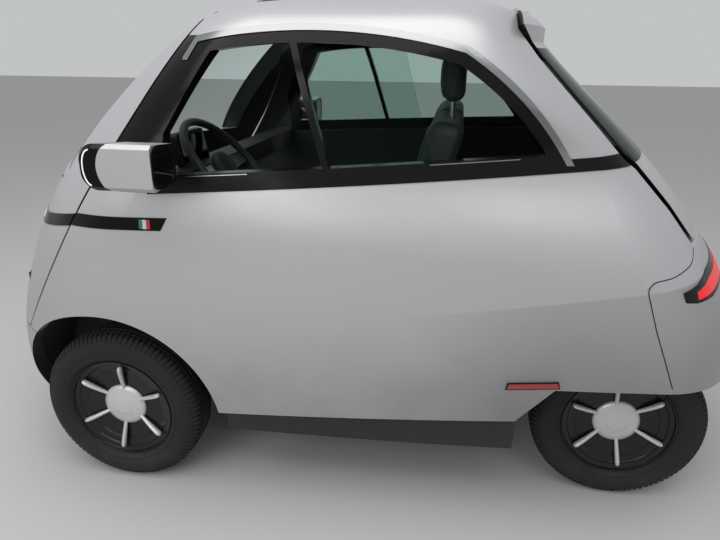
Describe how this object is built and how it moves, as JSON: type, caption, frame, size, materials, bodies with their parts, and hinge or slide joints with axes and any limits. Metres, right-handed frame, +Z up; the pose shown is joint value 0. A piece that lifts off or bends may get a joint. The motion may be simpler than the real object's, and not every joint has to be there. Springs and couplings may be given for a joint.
{
  "type": "microcar",
  "caption": "Two-seat electric bubble microcar with a side-hinged front door, a glazed tailgate, a bench seat and wire-spoke look rims on a narrow rear track.",
  "frame": {"origin": "on the ground below the middle of the length, on the centre plane", "axes": "+X forward, +Y to the car's left, +Z up"},
  "size_m": [2.5212, 1.756, 1.5035],
  "materials": {
    "body_silver": "matte metallic silver paint",
    "bumper_silver": "silver painted plastic",
    "gloss_black": "gloss black",
    "bright_trim": "satin bright",
    "glass": "slightly green, clear",
    "soft_top": "dark woven roof fabric",
    "lamp_red": "red lens in black surround",
    "lamp_white": "white diffuser",
    "lamp_clear": "clear cover over black",
    "floor_black": "black coated sheet",
    "battery": "cast housing",
    "cabin_black": "grained black",
    "seat_fabric": "black woven and coated cloth",
    "chassis_steel": "black chassis paint",
    "motor_alloy": "cast alloy",
    "tyre_rubber": "black rubber",
    "rim_black": "gloss black dish, silver spokes and cap"
  },
  "bodies": {
    "body": {"side_panel_left": "body_silver", "side_panel_right": "body_silver", "roof_panel": "body_silver", "lamp_mirror_pod_left": "body_silver", "lamp_mirror_pod_right": "body_silver", "rear_bumper": "bumper_silver", "front_bumper": "bumper_silver", "window_frame_left": "gloss_black", "window_frame_right": "gloss_black", "window_trim_left": "bright_trim", "window_trim_right": "bright_trim", "rear_side_window_left": "glass", "rear_side_window_right": "glass", "sliding_window_left": "glass", "sliding_window_right": "glass", "fabric_roof": "soft_top", "tail_light_bar": "lamp_red", "headlamp_lens_left": "lamp_clear", "headlamp_lens_right": "lamp_clear", "floor_tub": "floor_black", "battery_block": "battery", "dashboard": "cabin_black", "steering_column": "cabin_black", "bench_cushion": "seat_fabric", "bench_back": "seat_fabric", "headrest_left": "seat_fabric", "headrest_right": "seat_fabric", "front_suspension": "chassis_steel", "rear_axle": "chassis_steel", "drive_motor": "motor_alloy"},
    "front_door": {"front_door_panel": "body_silver", "windscreen": "glass", "front_light_bar": "lamp_white"},
    "tailgate": {"tailgate_panel": "body_silver", "rear_window": "glass"},
    "knuckle_left": {"steering_knuckle_left": "chassis_steel"},
    "knuckle_right": {"steering_knuckle_right": "chassis_steel"},
    "steering": {"steering_wheel": "cabin_black"},
    "wheel_front_left": {"tyre_front_left": "tyre_rubber", "rim_front_left": "rim_black"},
    "wheel_front_right": {"tyre_front_right": "tyre_rubber", "rim_front_right": "rim_black"},
    "wheel_rear_left": {"tyre_rear_left": "tyre_rubber", "rim_rear_left": "rim_black"},
    "wheel_rear_right": {"tyre_rear_right": "tyre_rubber", "rim_rear_right": "rim_black"}
  },
  "joints": [
    {"name": "front_door_hinge", "type": "hinge", "parent": "body", "child": "front_door", "pos_m": [0.9895, 0.585, 0.6], "axis": [0, 0, 1], "range_deg": [0, 75]},
    {"name": "tailgate_hinge", "type": "hinge", "parent": "body", "child": "tailgate", "pos_m": [-0.4675, 0, 1.473], "axis": [0, 1, 0], "range_deg": [0, 70]},
    {"name": "steer_left", "type": "hinge", "parent": "body", "child": "knuckle_left", "pos_m": [0.6955, 0.505, 0.265], "axis": [0, 0, 1], "range_deg": [-28, 28]},
    {"name": "steer_right", "type": "hinge", "parent": "body", "child": "knuckle_right", "pos_m": [0.6955, -0.505, 0.265], "axis": [0, 0, 1], "range_deg": [-28, 28]},
    {"name": "steering_wheel_turn", "type": "hinge", "parent": "body", "child": "steering", "pos_m": [0.4145, 0.33, 1.01], "axis": [-0.7431, 0, 0.6691], "range_deg": [-420, 420]},
    {"name": "roll_front_left", "type": "hinge", "parent": "knuckle_left", "child": "wheel_front_left", "pos_m": [0.6955, 0.61, 0.265], "axis": [0, 1, 0], "continuous": true},
    {"name": "roll_front_right", "type": "hinge", "parent": "knuckle_right", "child": "wheel_front_right", "pos_m": [0.6955, -0.61, 0.265], "axis": [0, 1, 0], "continuous": true},
    {"name": "roll_rear_left", "type": "hinge", "parent": "body", "child": "wheel_rear_left", "pos_m": [-0.8755, 0.421, 0.265], "axis": [0, 1, 0], "continuous": true},
    {"name": "roll_rear_right", "type": "hinge", "parent": "body", "child": "wheel_rear_right", "pos_m": [-0.8755, -0.421, 0.265], "axis": [0, 1, 0], "continuous": true}
  ],
  "couplings": [
    {"joint": "steer_right", "follows": "steer_left", "ratio": 1},
    {"joint": "steering_wheel_turn", "follows": "steer_left", "ratio": 15}
  ]
}
